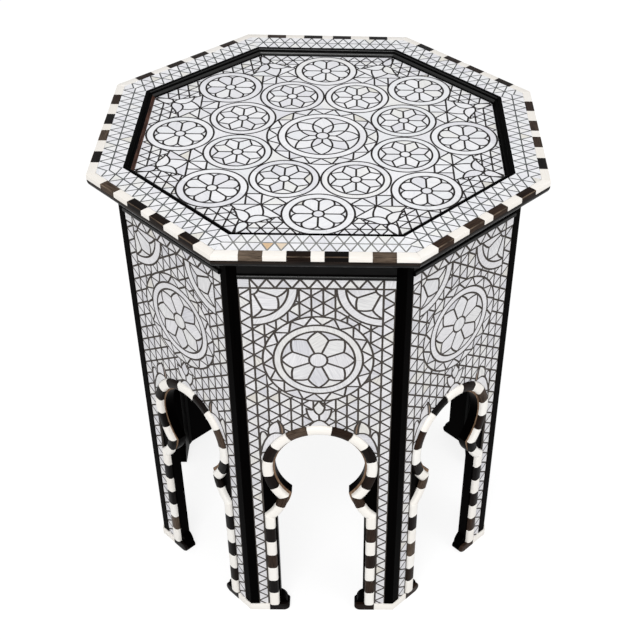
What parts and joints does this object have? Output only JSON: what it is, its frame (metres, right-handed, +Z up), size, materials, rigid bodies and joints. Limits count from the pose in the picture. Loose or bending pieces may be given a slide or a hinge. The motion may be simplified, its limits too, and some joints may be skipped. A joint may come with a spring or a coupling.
{
  "type": "octagonal side table",
  "caption": "Octagonal inlaid side table: a shell-veneered tray top on arched sides between black corner posts, with bone and ebony bead blocks round each arch.",
  "frame": {"origin": "middle of the footprint, on the floor", "axes": "+Z up; -Y out of the front side, the one that faces the viewer; +X to the viewer's right"},
  "size_m": [0.496, 0.496, 0.58],
  "materials": {
    "ebonised_wood": "black polish",
    "shell": "polished mother-of-pearl",
    "bone": "polished bone",
    "ebony": "polished dark wood",
    "softwood": "raw"
  },
  "bodies": {
    "root": {"top_rail_1": "ebonised_wood", "top_rail_2": "ebonised_wood", "top_rail_3": "ebonised_wood", "top_rail_4": "ebonised_wood", "top_rail_5": "ebonised_wood", "top_rail_6": "ebonised_wood", "top_rail_7": "ebonised_wood", "top_rail_8": "ebonised_wood", "cornice_1": "ebonised_wood", "cornice_2": "ebonised_wood", "cornice_3": "ebonised_wood", "cornice_4": "ebonised_wood", "cornice_5": "ebonised_wood", "cornice_6": "ebonised_wood", "cornice_7": "ebonised_wood", "cornice_8": "ebonised_wood", "corner_post_1": "ebonised_wood", "corner_post_2": "ebonised_wood", "corner_post_3": "ebonised_wood", "corner_post_4": "ebonised_wood", "corner_post_5": "ebonised_wood", "corner_post_6": "ebonised_wood", "corner_post_7": "ebonised_wood", "corner_post_8": "ebonised_wood", "side_board_1": "ebonised_wood", "side_board_2": "ebonised_wood", "side_board_3": "ebonised_wood", "side_board_4": "ebonised_wood", "side_board_5": "ebonised_wood", "side_board_6": "ebonised_wood", "side_board_7": "ebonised_wood", "side_board_8": "ebonised_wood", "recess_moulding": "ebonised_wood", "toe_brackets": "ebonised_wood", "top_shell_field": "shell", "border_shell_strips": "shell", "side_shell_1": "shell", "side_shell_2": "shell", "side_shell_3": "shell", "side_shell_4": "shell", "side_shell_5": "shell", "side_shell_6": "shell", "side_shell_7": "shell", "side_shell_8": "shell", "rim_bone_blocks": "bone", "arch_bone_blocks": "bone", "plinth_bone_strips": "bone", "rim_ebony_blocks": "ebony", "arch_ebony_blocks": "ebony", "plinth_ebony_ends": "ebony", "top_board": "softwood", "glue_blocks": "softwood"}
  },
  "joints": []
}
